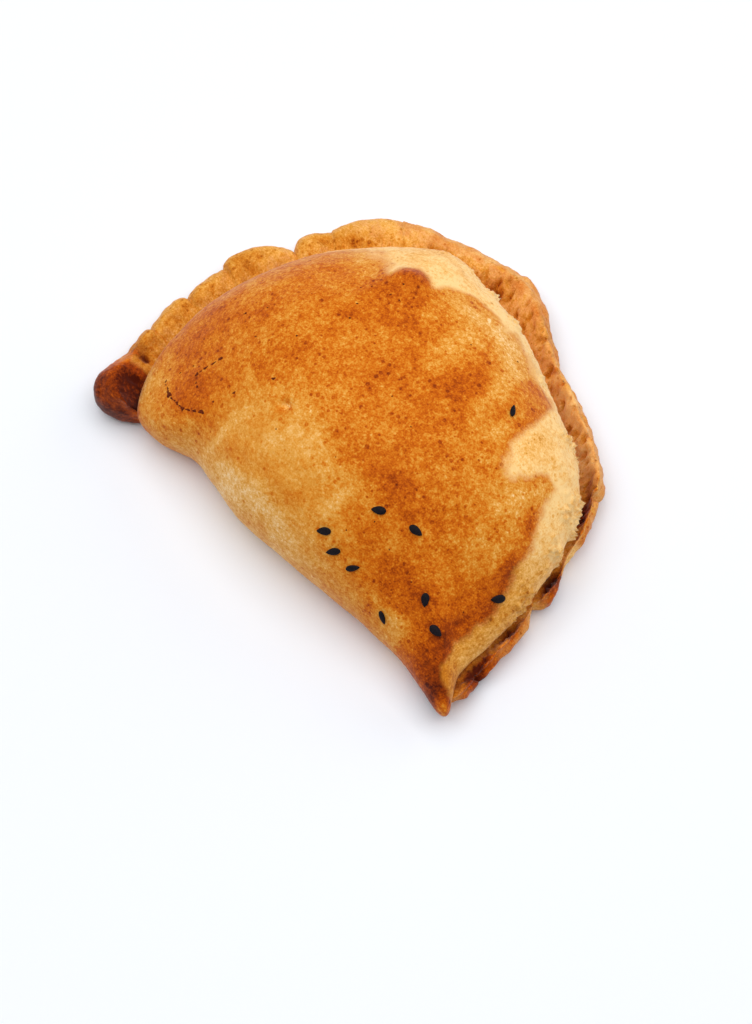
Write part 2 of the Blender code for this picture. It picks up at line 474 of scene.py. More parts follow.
@dataclass(frozen=True)
class PaleBoard:
    """Smooth white laminate under the pastry: it only has to be plain, pale and matt."""

    colour: str = "f3f6fb"

    def material(self) -> bpy.types.Material:
        """Build the node material."""
        made = bpy.data.materials.new("white_laminate_board")
        made.use_nodes = True
        shader = made.node_tree.nodes["Principled BSDF"]
        shader.inputs["Base Color"].default_value = linear(self.colour)
        shader.inputs["Roughness"].default_value = 0.75
        shader.inputs["Specular IOR Level"].default_value = 0.2
        return made


# ---------------------------------------------------------------------------------------------
# The pastry's net: the part's own sizes and formulas on finer columns and rings
# ---------------------------------------------------------------------------------------------


@dataclass(frozen=True)
class Crimp:
    """One crimp of the rim.

    Attributes:
        x: Notch where it starts.
        y: Notch where it starts.
        crown: How far its crown stands out from the line to the next notch.
        place: Where along that line the crown is, 0 to 1.
        blunt: Power of the lobe; a smaller one is blunter.
        height: Height of its crest.
    """

    x: float
    y: float
    crown: float
    place: float
    blunt: float
    height: float


CRIMPS = (
    Crimp(64.2, -47.7, 0.9, 0.55, 0.7, 8.5),
    Crimp(62.4, -35.2, 1.2, 0.50, 0.8, 9.5),
    Crimp(60.3, -11.6, 2.2, 0.45, 0.45, 10.5),
    Crimp(49.4, 19.3, 3.6, 0.23, 1.35, 11.0),
    Crimp(17.6, 40.4, 3.5, 0.70, 0.8, 10.5),
    Crimp(-12.0, 51.8, 0.5, 0.65, 1.0, 10.0),
    Crimp(-29.6, 46.8, 0.9, 0.48, 0.8, 10.5),
    Crimp(-41.8, 41.0, 2.5, 0.45, 0.6, 10.5),
    Crimp(-52.3, 25.7, 2.3, 0.52, 0.7, 10.0),
    Crimp(-55.5, 15.1, 3.3, 0.56, 0.75, 10.5),
    Crimp(-64.3, -1.8, 0.8, 0.58, 0.9, 10.0),
    Crimp(-64.2, -15.0, 2.1, 0.36, 0.7, 10.0),
    Crimp(-63.2, -28.4, 1.0, 0.30, 0.8, 11.0),
    Crimp(-62.0, -36.4, 10.2, 0.58, 0.55, 14.0),
)

DOME_OUTLINE = (
    (64.0, -47.7), (59.3, -38.8), (59.2, -27.5), (58.2, -15.0), (55.0, 1.0), (47.9, 14.0),
    (36.6, 22.2), (23.6, 28.4), (7.8, 34.8), (-7.5, 37.5), (-19.2, 38.8), (-28.0, 33.4),
    (-37.2, 24.0), (-46.3, 11.6), (-52.7, -5.8), (-55.0, -20.0), (-53.8, -35.0),
    (-47.4, -46.4), (-38.0, -48.2), (-27.5, -45.6), (-18.0, -47.2), (-6.0, -49.0),
    (12.0, -48.0), (30.0, -46.3), (46.0, -45.9), (56.0, -47.4),
)


@dataclass
class PastryNet:
    """The pastry's skin as rings of points, one ring inside the next.

    A point's `section` says where it is: -1 to 0 climbs down the dome, 0 to 9 follows the keys of
    the side (lip, undercut, groove, valley, crest, brow, edge, underside, foot, base), and above 9
    is the flat base.
    """

    dome_top: float = 42.0
    widest_at: float = 13.0
    dome_pole: tuple[float, float] = (0.0, -6.0)
    dome_breadth: float = 2.4
    round_turns: int = 2
    outline: tuple[tuple[float, float], ...] = DOME_OUTLINE
    crimps: tuple[Crimp, ...] = CRIMPS
    seam_end: tuple[float, float] = (-47.2, -46.4)
    # Places within the last crimp between which its groove is filled up to a round knob.
    knob: tuple[float, float, float, float] = (12.7, 13.3, 13.9, 14.0)
    # Places between which the rim is a narrow ridge behind a deep gap.
    ridge: tuple[float, float, float, float] = (2.6, 3.2, 4.6, 5.6)
    # Spans where the crimps run into each other without notches, and how often they are evened.
    merged: tuple[tuple[float, float, float, float], ...] = (
        (4.5, 4.8, 8.1, 8.4), (12.4, 12.8, 13.2, 13.4),
    )
    merging: int = 44
    notch_crest: float = 8.4
    lip: tuple[float, float] = (0.78, 0.9)
    groove: tuple[float, float] = (0.55, 1.6)
    valley: tuple[float, float] = (7.6, 0.28)
    crest_place: float = 0.66
    brow: tuple[float, float] = (1.1, 1.2)
    edge_part: float = 0.60
    under: tuple[float, float] = (2.4, 1.6)
    foot: tuple[float, float] = (0.9, 1.0)
    fold_rounding: float = 8.0
    rim_fades: tuple[float, float] = (0.5, 4.0)
    spine: tuple[tuple[float, float], ...] = ((-34.0, -16.0), (44.0, -26.0))
    thin_ends: tuple[Spot, ...] = (
        Spot(-56.0, -50.0, 30.0, 30.0, 0.0, 0.42),
        Spot(66.0, -50.0, 34.0, 34.0, 0.0, 0.50),
    )
    widest_sinks: float = 0.8
    swells: tuple[Spot, ...] = (
        Spot(-15.0, 16.0, 7.0, 7.0, 0.0, 2.0),
        Spot(20.0, 6.0, 15.0, 15.0, 0.0, 0.9),
        Spot(-36.0, -8.0, 14.0, 14.0, 0.0, 0.8),
        Spot(6.0, -26.0, 18.0, 18.0, 0.0, 0.9),
        Spot(42.0, -12.0, 12.0, 12.0, 0.0, 0.9),
        Spot(-22.0, -37.0, 10.0, 10.0, 0.0, -1.4),
        Spot(30.0, -38.0, 9.0, 9.0, 0.0, -0.7),
        Spot(2.0, 24.0, 9.0, 9.0, 0.0, -0.8),
    )
    # Fineness: columns round the outside, rings of the dome and rings of the side.
    samples: int = 6000
    rim_step: float = 0.50
    fold_step: float = 0.58
    notch_gather: float = 0.05
    dome_rings: int = 84
    side_rings: int = 54
    # Rings of the dome inside these keep every other column, and every fourth.
    thin_out: tuple[int, int] = (34, 16)

    def closed_outline(self) -> tuple[Array, float]:
        """Evenly spaced samples of the closed smooth curve through the outline, and their spacing."""
        points = np.array(self.outline)
        place = np.linspace(0.0, len(points), self.samples + 1)
        first = np.floor(place).astype(int)
        corners = [points[(first + shift) % len(points)] for shift in (-1, 0, 1, 2)]
        curve = spline(*corners, (place - first)[:, None])
        travelled = np.concatenate([[0.0], np.cumsum(np.hypot(*np.diff(curve, axis=0).T))])
        even = np.linspace(0.0, travelled[-1], self.samples, endpoint=False)
        xy = [np.interp(even, travelled, curve[:, axis]) for axis in (0, 1)]
        return np.column_stack(xy), travelled[-1] / self.samples

    def columns_of(self, crimp: Crimp, following: tuple[float, float]) -> tuple[Array, Array]:
        """Outer points and crest heights along one crimp.

        The edge leaves the straight line between two notches by a leaning lobe, 4 t (1 - t), where
        t is the place along the line raised to the power that puts its middle at the crown.

        Args:
            crimp: The crimp.
            following: Notch where the next one starts.

        Returns:
            Plan points of the outer edge, and the crest's height over each.
        """
        start = np.array([crimp.x, crimp.y])
        along = np.array(following) - start
        length = np.hypot(*along)
        count = max(8, round((length + crimp.crown) / self.rim_step))
        even = np.arange(count) / count
        part = even - self.notch_gather * np.sin(2.0 * math.pi * even)
        leaned = part ** (math.log(0.5) / math.log(crimp.place))
        lobe = 4.0 * leaned * (1.0 - leaned)
        outward = np.array([along[1], -along[0]]) / length
        outer = start + part[:, None] * along + (crimp.crown * lobe**crimp.blunt)[:, None] * outward
        return outer, self.notch_crest + (crimp.height - self.notch_crest) * fade(0.0, 1.0, lobe**0.35)

    def columns(self) -> tuple[Array, Array, Array, Array]:
        """The net's columns: dome point, outer point, crest height and place within the crimp.

        Every notch has a column of its own, whose crease runs to the nearest point of the dome.
        Along the fold the outer point is the dome point itself. The count is a multiple of 8.
        """
        body, spacing = self.closed_outline()
        notches = [(crimp.x, crimp.y) for crimp in self.crimps] + [self.seam_end]
        marks = [int(np.argmin(np.hypot(*(body - notch).T))) for notch in notches]

        def stretch(start: int, end: int, count: int) -> Array:
            """Evenly spaced points of the dome's outline from one mark to another."""
            span = (end - start) % len(body)
            return body[(start + np.arange(count) * span // count) % len(body)]

        inner, outer, crest, phase = [], [], [], []
        for number, crimp in enumerate(self.crimps):
            edge, height = self.columns_of(crimp, notches[number + 1])
            inner.append(stretch(marks[number], marks[number + 1], len(edge)))
            outer.append(edge)
            crest.append(height)
            phase.append(number + np.arange(len(edge)) / len(edge))
        count = round((marks[0] - marks[-1]) % len(body) * spacing / self.fold_step)
        count += -(count + sum(map(len, inner))) % 8
        folded = stretch(marks[-1], marks[0], count)
        inner.append(folded)
        outer.append(folded)
        crest.append(np.full(count, self.notch_crest))
        phase.append(len(self.crimps) + np.arange(count) / count)
        places = np.concatenate(phase)
        edge = np.column_stack([np.vstack(outer), np.concatenate(crest)])
        share = 0.5 * sum(self.within(span, places) for span in self.merged)[:, None]
        for _ in range(self.merging):
            edge += share * (np.roll(edge, 1, axis=0) + np.roll(edge, -1, axis=0) - 2.0 * edge)
        return np.vstack(inner), edge[:, :2], edge[:, 2], places

    def widest_height(self, body: Array) -> Array:
        """Height of the widest line, lower towards both ends of the seam."""
        return self.widest_at * (1.0 - self.widest_sinks * sum_of(self.thin_ends, body))

    def rounded(self, body: Array) -> Array:
        """The outline with only its slowest turns left: a plain egg shape."""
        turns = np.fft.fft(body[:, 0] + 1j * body[:, 1])
        turns[self.round_turns + 1 : len(turns) - self.round_turns] = 0.0
        egg = np.fft.ifft(turns)
        return np.column_stack([egg.real, egg.imag])

    def dome_ring(self, body: Array, part: float) -> Array:
        """One ring of the dome.

        The plan is the outline, blended towards the egg inside and drawn in to the pole. The
        height falls from the top to the widest line as the root of 1 - part to the dome's power.

        Args:
            body: Dome points of the columns.
            part: Share of the way from the pole to the widest line.

        Returns:
            The ring's points.
        """
        egg = self.rounded(body)
        pole = np.array(self.dome_pole)
        plan = pole + part * (egg + part**2 * (body - egg) - pole)
        top = self.dome_top * (1.0 - sum_of(self.thin_ends, plan)) + sum_of(self.swells, plan)
        low = self.widest_height(body)
        rise = math.sqrt(max(0.0, 1.0 - part**self.dome_breadth))
        return np.column_stack([plan, low + (top - low) * rise])

    def towards_spine(self, body: Array) -> Array:
        """Unit vectors from each point straight to the nearest point of the spine."""
        start, end = (np.array(point) for point in self.spine)
        along = end - start
        part = np.clip((body - start) @ along / (along @ along), 0.0, 1.0)
        inward = start + part[:, None] * along - body
        return inward / np.hypot(*inward.T)[:, None]

    def side_keys(
        self, width: Array, crest: Array, widest: Array, knob: Array, ridge: Array
    ) -> list[Array]:
        """Keys of the side's section in each column: distance out from the dome, and height.

        Args:
            width: Width of the rim.
            crest: Height of its crest.
            widest: Height of the dome's widest line.
            knob: 1 where the rim is a round knob without a groove, 0 elsewhere.
            ridge: 1 where it is a narrow ridge behind a deep gap, 0 elsewhere.

        Returns:
            Ten arrays of distance and height, which blend into a quarter round along the fold.
        """
        level = np.ones_like(width)
        rim = [
            (0.0 * level, widest),
            (-self.lip[1] * level, self.lip[0] * widest),
            (-self.groove[1] - 0.6 * ridge, (self.groove[0] - 0.12 * ridge) * widest),
            (
                (self.valley[1] - 0.04 * ridge) * width,
                self.valley[0] - 4.2 * ridge + knob * (0.80 * crest - self.valley[0]),
            ),
            ((self.crest_place - 0.10 * knob + 0.03 * ridge) * width, crest + 0.9 * ridge),
            (width - self.brow[1] * (1.0 + 0.6 * knob), crest - self.brow[0] * (1.0 + knob)),
            (width, self.edge_part * crest),
            (width - self.under[1], self.under[0] * level),
            (-self.foot[1] * level, self.foot[0] * level),
            (-self.fold_rounding * level, 0.0 * level),
        ]
        turn = np.linspace(0.0, math.pi / 2.0, len(rim))
        shape = fade(*self.rim_fades, width)
        keys = []
        for angle, (out, height) in zip(turn, rim):
            round_out = self.fold_rounding * (math.cos(angle) - 1.0)
            round_height = widest * (1.0 - math.sin(angle))
            both = (
                shape * out + (1.0 - shape) * round_out,
                shape * height + (1.0 - shape) * round_height,
            )
            keys.append(np.column_stack(both))
        return keys

    def within(self, span: tuple[float, float, float, float], phase: Array) -> Array:
        """1 inside a span of the rim, 0 outside it, and smooth between.

        Args:
            span: Crimp number plus place within it where the span starts, is full, ends and is over.
            phase: The same for each point.

        Returns:
            One value per point.
        """
        start, full, ends, end = span
        return fade(start, full, phase) * fade(end, ends, phase)

    def side(
        self, body: Array, outer: Array, crest: Array, phase: Array
    ) -> tuple[list[Array], list[float]]:
        """The rings down the side, and the section value of each.

        Smooth curves join the keys. More rings go to the visible keys than to the underside.
        """
        across = outer - body
        width = np.hypot(*across.T)
        inward = self.towards_spine(body)
        knob, ridge = self.within(self.knob, phase), self.within(self.ridge, phase)
        keys = self.side_keys(width, crest, self.widest_height(body), knob, ridge)
        keys = [keys[0] + (0.0, 3.0)] + keys + [keys[-1] - (3.0, 0.0)]
        spans = len(keys) - 3
        even = np.linspace(0.0, 1.0, self.side_rings + 1)[1:]
        places = np.interp(even, [0.0, 0.92, 1.0], [0.0, 7.0, float(spans)])
        rings = []
        for place in places:
            first = min(int(place), spans - 1)
            section = spline(*keys[first : first + 4], place - first)
            out = section[:, :1]
            share = out / np.maximum(width, MM)[:, None]
            plan = np.where(out > 0.0, body + share * across, body - out * inward)
            rings.append(np.column_stack([plan, np.maximum(section[:, 1], 0.0)]))
        rings[-1][:, 2] = 0.0
        return rings, places.tolist()

    def build(self) -> "Skin":
        """Join all rings into one closed skin."""
        body, outer, crest, phase = self.columns()
        width = np.hypot(*(outer - body).T)
        turn = np.linspace(0.0, math.pi / 2.0, self.dome_rings + 1)[1:]
        skin = Skin(len(body), phase, width)
        for number, angle in enumerate(turn, 1):
            every = 4 if number <= self.thin_out[1] else 2 if number <= self.thin_out[0] else 1
            part = math.sin(angle)
            skin.add(self.dome_ring(body, part), part - 1.0, every)
        for ring, place in zip(*self.side(body, outer, crest, phase)):
            skin.add(ring, place, 1)
        foot = skin.last
        centre = np.array([*self.dome_pole, 0.0])
        for number, every in enumerate((2, 4, 8), 1):
            skin.add(foot + number / 4.0 * (centre - foot), 9.0 + number / 4.0, every)
        skin.close()
        return skin


@dataclass
class Skin:
    """Rings of points joined by faces as they are added.

    Attributes:
        columns: Columns of a full ring.
        phase: Crimp number plus place within it, for each column.
        width: Rim width at each column.
    """

    columns: int
    phase: Array
    width: Array
    points: list[Array] = field(default_factory=list)
    section: list[Array] = field(default_factory=list)
    column: list[Array] = field(default_factory=list)
    faces: list[tuple[int, ...]] = field(default_factory=list)
    count: int = 0
    every: int = 0
    last: Array | None = None

    def add(self, ring: Array, section: float, every: int) -> None:
        """Add a ring that keeps every so many columns, and join it to the one before.

        Args:
            ring: Points of all columns.
            section: Section value of the ring.
            every: 1 keeps all columns, 2 every other one, and so on.
        """
        kept = np.arange(0, self.columns, every)
        if self.last is not None:
            self.join(self.count - self.columns // self.every, self.every, self.count, every)
        self.points.append(ring[kept])
        self.section.append(np.full(len(kept), section))
        self.column.append(kept)
        self.count += len(kept)
        self.every = every
        self.last = ring

    def join(self, start: int, every: int, next_start: int, next_every: int) -> None:
        """Add the faces between two rings: quads, or a triangle and a quad where columns halve.

        Args:
            start: First vertex of the upper ring.
            every: Its column step.
            next_start: First vertex of the lower ring.
            next_every: Its column step, the same, half or double.
        """
        upper, lower = self.columns // every, self.columns // next_every
        a, b = np.arange(upper), np.arange(lower)
        if upper == lower:
            quads = [start + a, next_start + a, next_start + (a + 1) % upper, start + (a + 1) % upper]
            self.faces += np.column_stack(quads).tolist()
        elif lower > upper:
            low = [next_start + (2 * a + shift) % lower for shift in (0, 1, 2)]
            here, there = start + a, start + (a + 1) % upper
            self.faces += np.column_stack([here, low[0], low[1]]).tolist()
            self.faces += np.column_stack([here, low[1], low[2], there]).tolist()
        else:
            high = [start + (2 * b + shift) % upper for shift in (0, 1, 2)]
            here, there = next_start + b, next_start + (b + 1) % lower
            self.faces += np.column_stack([high[0], here, high[1]]).tolist()
            self.faces += np.column_stack([high[1], here, there, high[2]]).tolist()

    def close(self) -> None:
        """Put one point in the middle of the first and of the last ring, and fan them shut."""
        first, last = self.points[0], self.points[-1]
        start = self.count - len(last)
        self.points += [first.mean(axis=0)[None], last.mean(axis=0)[None]]
        self.section += [np.array([-1.0]), np.array([10.0])]
        self.column += [np.array([0]), np.array([0])]
        a, b = np.arange(len(first)), np.arange(len(last))
        top = np.full(len(first), self.count)
        low = np.full(len(last), self.count + 1)
        self.faces += np.column_stack([top, a, (a + 1) % len(first)]).tolist()
        self.faces += np.column_stack([low, start + (b + 1) % len(last), start + b]).tolist()
        self.count += 2


# ---------------------------------------------------------------------------------------------
# The crust
# ---------------------------------------------------------------------------------------------


@dataclass
class Crust:
    """The pastry's whole skin: the net, its relief, how far each place is baked, and its painted shade
    and light.
    """

    net: PastryNet = field(default_factory=PastryNet)
    finish: BakedCrust = field(default_factory=BakedCrust)
    # Low relief of the dome in millimetres: lump spacing and height.
    dome_relief: tuple[tuple[float, float], ...] = ((14.0, 0.30), (5.0, 0.14), (2.2, 0.07), (1.1, 0.04))
    rim_relief: tuple[tuple[float, float], ...] = ((7.0, 0.55), (3.2, 0.42), (1.5, 0.20), (0.8, 0.08))
    # Mounds and hollows of the dome that only the fine net can carry.
    dome_forms: tuple[Spot, ...] = (
        Spot(-14.5, 16.5, 5.0, 3.2, 20.0, 1.3),
        Spot(-17.5, 8.0, 8.0, 3.0, 70.0, 0.5),
        Spot(-10.8, -28.7, 1.5, 1.0, 20.0, -1.5),
    )
    # Hollows (negative) and lumps of the rim.
    rim_forms: tuple[Spot, ...] = (
        Spot(-58.8, 6.2, 1.2, 1.0, 0.0, -1.4),
        Spot(-58.0, 2.0, 2.6, 0.8, 10.0, -1.0),
        Spot(-51.0, 21.4, 1.5, 1.0, 50.0, -1.6),
        Spot(-44.6, 26.9, 1.6, 1.2, 40.0, -1.4),
        Spot(-28.8, 40.5, 1.8, 1.1, 30.0, -1.6),
        Spot(-11.0, 44.0, 4.0, 1.0, 0.0, -1.4),
        Spot(48.6, 15.0, 5.0, 1.8, -60.0, -3.4),
        Spot(57.2, -4.0, 4.0, 1.8, -75.0, -3.4),
        Spot(59.8, -22.3, 3.0, 1.2, -85.0, -2.8),
        Spot(61.2, -34.5, 4.5, 1.6, -88.0, -3.4),
        Spot(-57.4, -35.0, 1.3, 0.9, 40.0, -2.2),
        Spot(-53.8, -41.2, 1.5, 0.8, 70.0, -1.8),
        Spot(20.0, 30.2, 4.0, 1.0, -25.0, -1.6),
        Spot(21.0, 34.5, 1.6, 1.2, 0.0, -1.0),
        Spot(17.0, 37.0, 1.2, 1.0, 0.0, -1.2),
    )
    # Strands of the torn dough on the rim's inner wall: spacing and height.
    pleat: tuple[float, float] = (1.3, 1.0)
    # Depth of the small dents in the rim.
    dent: float = 0.9
    # Where fine wrinkles crease the skin, and the point that they spread from.
    wrinkled: Spot = Spot(50.0, -36.0, 9.0, 5.0, 70.0, 0.7)
    wrinkled_from: tuple[float, float] = (43.0, -54.0)
    # Places between which the rim is burnt dark at the tail.
    tail: tuple[float, float, float, float] = (13.08, 13.48, 13.95, 14.0)
    # The left crimps overlap like shingles: each one's far end lies over the next one's start.
    shingled: tuple[float, float, float, float] = (6.6, 7.2, 12.6, 13.0)
    shingle: float = 1.5
    # Places between which the rim stayed golden.
    golden: tuple[float, float, float, float] = (4.6, 8.4, 12.6, 13.0)
    # Corners of the browned area's edge, round the pale strip that the fold shaded.
    browned: tuple[tuple[float, float], ...] = (
        (-70.0, 18.0), (-40.0, 15.0), (-36.0, 18.0), (-31.0, 18.5), (-27.0, 19.0), (-22.0, 17.0),
        (-18.5, 14.0), (-17.5, 18.0), (-15.5, 20.8), (-11.5, 20.3), (-9.0, 18.5), (-7.0, 23.0),
        (-3.0, 27.0), (0.0, 28.0), (4.0, 28.0), (8.0, 27.5), (9.0, 26.0), (10.0, 28.5),
        (15.0, 27.5), (18.0, 26.0), (21.0, 23.5), (24.0, 22.5), (27.5, 23.5), (30.0, 22.0),
        (32.0, 15.0), (33.0, 3.0), (35.0, 0.0), (37.5, -3.0), (39.5, -2.5), (41.0, 1.0),
        (43.0, 6.5), (46.0, 6.0), (49.0, -2.0), (52.3, -9.0), (53.0, -13.0), (55.0, -18.0),
        (57.0, -26.0), (55.5, -29.0), (56.0, -32.0), (54.5, -36.0), (56.0, -38.0), (56.5, -42.0),
        (58.5, -44.5), (80.0, -45.0), (80.0, -60.0), (-70.0, -60.0),
    )
    # Where the glaze ended softly, and by how much (1 would lose the edge).
    soft_edges: tuple[Spot, ...] = (
        Spot(-29.0, 18.0, 11.0, 9.0, 0.0, 0.85),
        Spot(50.0, -12.0, 8.0, 4.0, -70.0, 0.15),
        Spot(16.0, 27.5, 10.0, 5.0, -25.0, 0.55),
        Spot(36.0, -1.0, 5.0, 6.0, 0.0, 0.45),
    )
    # Strokes of thicker glaze with a crisp edge, which browned more.
    strokes: tuple[tuple[tuple[float, float], ...], ...] = (
        ((-17.5, 18.5), (-14.5, 20.8), (-10.0, 20.0), (-7.5, 16.5), (-5.0, 12.0), (-2.5, 8.0),
         (-1.5, 4.0), (-6.0, 2.0), (-12.0, 3.0), (-15.0, -2.0), (-18.0, -4.0), (-20.0, 2.0),
         (-20.5, 9.0), (-19.0, 14.0)),
        ((10.5, 20.5), (13.5, 17.0), (17.0, 12.5), (20.0, 10.5), (21.0, 6.0), (20.0, 1.0),
         (16.0, -2.0), (11.0, 0.0), (10.5, 4.0), (12.0, 9.0), (11.5, 14.0)),
        ((24.5, 24.0), (28.0, 24.5), (31.5, 20.0), (33.5, 8.0), (34.0, 0.0), (30.0, -4.0),
         (25.0, -1.0), (25.5, 4.0), (25.0, 10.0), (23.5, 16.0), (22.0, 21.0)),
        ((30.0, -35.0), (38.0, -33.5), (48.0, -34.0), (53.0, -35.0), (56.0, -38.0), (56.0, -42.0),
         (50.0, -42.5), (44.0, -40.5), (38.0, -43.0), (33.0, -42.5), (31.0, -39.0)),
        ((44.0, -47.0), (46.0, -43.5), (50.0, -42.0), (54.0, -43.0), (57.5, -44.0), (62.0, -46.0),
         (60.0, -52.0), (46.0, -52.0)),
    )
    stroke_bake: float = 0.13
    # Where the oven browned the dome more (positive) or less, and one band of painted light along the
    # fold edge.
    dome_bakes_and_light: tuple[Spot, ...] = (
        # The hump, and the streaks that the glazing brush left beside it.
        Spot(-14.0, 17.0, 4.0, 4.0, 10.0, 0.06),
        Spot(-18.0, 15.0, 2.0, 3.0, 0.0, -0.10),
        Spot(-9.0, 9.0, 10.0, 5.5, 100.0, 0.02),
        Spot(-17.0, -6.0, 5.0, 3.4, 85.0, 0.08),
        Spot(-13.0, -12.0, 4.0, 4.0, 0.0, -0.08),
        Spot(-8.0, -6.0, 5.0, 3.0, 0.0, -0.08),
        Spot(2.5, 2.0, 3.0, 6.0, 0.0, 0.14),
        Spot(17.0, 0.0, 7.0, 4.0, 0.0, 0.12),
        Spot(17.0, 9.0, 3.0, 2.0, 80.0, 0.08),
        Spot(7.0, 12.0, 9.0, 4.0, 78.0, -0.24),
        Spot(13.0, 23.0, 9.0, 5.0, -30.0, -0.30),
        Spot(20.0, 15.0, 8.0, 3.0, 80.0, -0.18),
        Spot(-1.0, 22.0, 8.0, 4.0, 0.0, -0.22),
        Spot(28.0, 10.0, 13.0, 5.0, 80.0, -0.16),
        Spot(29.0, 0.0, 4.0, 4.0, 80.0, -0.12),
        # The left shoulder.
        Spot(-45.0, -24.0, 8.0, 5.0, 80.0, 0.20),
        Spot(-36.0, -16.0, 6.0, 4.0, 80.0, 0.10),
        Spot(-42.0, -10.0, 4.0, 3.0, 0.0, -0.10),
        Spot(-40.0, 6.0, 10.0, 4.0, 70.0, -0.04),
        Spot(-30.0, 15.0, 9.0, 4.0, 0.0, -0.18),
        Spot(-34.0, -36.0, 9.0, 6.0, 20.0, 0.26),
        Spot(-32.0, -41.0, 6.0, 1.4, 0.0, 0.16),
        Spot(-21.0, -20.0, 8.0, 6.0, 60.0, 0.08),
        Spot(-50.0, -40.0, 8.0, 5.0, 0.0, -0.24),
        # The middle and the pale lower half, where the dough is thin over the filling; the fold edge's
        # band is painted light.
        Spot(8.0, -9.0, 18.0, 6.0, 0.0, 0.10),
        Spot(-6.0, -34.0, 22.0, 8.0, 0.0, -0.29),
        Spot(8.0, -27.0, 8.0, 2.6, 0.0, 0.14),
        Spot(-5.0, -24.0, 5.0, 4.0, 80.0, -0.12),
        Spot(-12.0, -33.0, 6.0, 3.0, 20.0, 0.16),
        Spot(15.0, -35.0, 6.0, 1.6, 70.0, -0.22),
        Spot(4.0, -30.0, 7.0, 1.2, -20.0, -0.12),
        Spot(-20.0, -40.0, 6.0, 1.6, 70.0, -0.18),
        # Painted light: a paler band along the fold edge, for the light that the white board throws onto
        # it.
        Spot(-6.0, -47.0, 30.0, 3.0, 0.0, -0.40),
        Spot(16.0, -41.0, 6.0, 3.0, 0.0, -0.12),
        # The right half, browner towards the pinched tip.
        Spot(23.0, -25.0, 8.0, 5.0, 0.0, 0.26),
        Spot(40.0, -23.0, 8.0, 6.0, 0.0, 0.10),
        Spot(24.0, -36.0, 6.0, 3.0, 0.0, 0.08),
        Spot(38.0, -36.0, 14.0, 5.0, 0.0, 0.14),
        Spot(43.0, -43.5, 6.0, 2.2, 0.0, -0.26),
        Spot(38.0, -6.0, 7.0, 4.0, 80.0, -0.16),
        Spot(45.0, -2.0, 8.0, 4.0, 85.0, -0.30),
        Spot(50.0, -12.0, 8.0, 4.0, 85.0, -0.16),
        Spot(53.0, -34.0, 8.0, 4.0, 90.0, 0.28),
        Spot(54.0, -44.0, 8.0, 3.0, 0.0, 0.22),
        # The pale strip.
        Spot(-20.0, 28.0, 12.0, 9.0, 40.0, 0.14),
        Spot(37.0, 8.0, 10.0, 5.0, -70.0, 0.20),
        Spot(53.0, -13.0, 14.0, 4.0, -75.0, 0.20),
        Spot(58.5, -30.0, 14.0, 4.0, 88.0, 0.26),
        Spot(58.0, -14.0, 11.0, 4.0, 95.0, 0.24),
        Spot(48.6, -5.0, 3.5, 1.8, -65.0, 0.24),
        Spot(52.2, -15.0, 4.0, 1.8, -75.0, 0.24),
        Spot(48.2, 15.8, 4.5, 1.0, -58.0, 0.55),
        # Flecks of raw flour and the rim of the small pit.
        Spot(28.0, -21.8, 1.3, 0.45, 100.0, -0.45),
        Spot(35.7, -26.1, 0.8, 0.4, 20.0, -0.40),
        Spot(5.3, 24.6, 1.0, 0.4, -60.0, -0.50),
        Spot(-10.8, -28.7, 2.2, 1.6, 20.0, 0.30),
        Spot(-10.8, -28.7, 1.3, 0.8, 20.0, -0.55),
        # Smaller islands and gaps between the patches.
        Spot(30.0, 3.0, 3.0, 9.0, 0.0, -0.12),
        Spot(26.0, -5.0, 3.0, 2.0, 0.0, 0.14),
        Spot(45.0, -20.0, 3.0, 5.0, 0.0, -0.12),
        Spot(32.0, -35.0, 9.0, 1.6, 0.0, -0.14),
        Spot(9.0, -13.0, 3.0, 3.0, 0.0, -0.14),
        Spot(-22.0, -25.0, 2.4, 3.0, 0.0, 0.14),
        Spot(-33.0, 5.0, 7.0, 4.0, 60.0, 0.08),
        Spot(60.0, -43.0, 7.0, 4.0, 80.0, 0.44),
    )
    # The same for the rim.
    rim_bakes: tuple[Spot, ...] = (
        Spot(-8.0, 47.0, 4.0, 3.0, 60.0, 0.20),
        Spot(8.0, 44.0, 8.0, 3.0, -20.0, 0.20),
        Spot(-60.0, 2.0, 4.0, 4.0, 0.0, 0.26),
        Spot(-61.0, -20.0, 20.0, 4.0, 90.0, 0.16),
        Spot(-60.0, -35.0, 5.0, 4.0, 0.0, 0.32),
        Spot(-48.0, 25.0, 8.0, 2.4, 50.0, 0.24),
        Spot(58.5, -9.0, 9.0, 5.0, 90.0, 0.22),
        Spot(62.0, -38.0, 9.0, 5.0, 90.0, 0.22),
        Spot(50.0, 17.0, 6.0, 2.4, -60.0, -0.20),
        Spot(24.0, 33.5, 8.0, 2.0, -28.0, -0.24),
        Spot(39.0, 25.0, 5.0, 2.0, -35.0, -0.20),
    )

    def build(self) -> "DressedCrust":
        """Make the crust's mesh, its fields and its material.

        Returns:
            The crust, ready to carry seeds.
        """
        skin = self.net.build()
        points = np.vstack(skin.points)
        section = np.concatenate(skin.section)
        column = np.concatenate(skin.column)
        width, phase = skin.width[column], skin.phase[column]
        middle = (points.min(axis=0) + points.max(axis=0)) / 2.0
        low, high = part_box(NODE)
        shift = np.array([(low[axis] + high[axis]) / 2.0 / MM - middle[axis] for axis in (0, 1)] + [0.0])
        item = mesh_object("crust_of_dough", (points + shift) * MM, skin.faces)
        normals = np.empty(len(points) * 3, np.float32)
        item.data.vertex_normals.foreach_get("vector", normals)
        normals = normals.reshape(-1, 3)

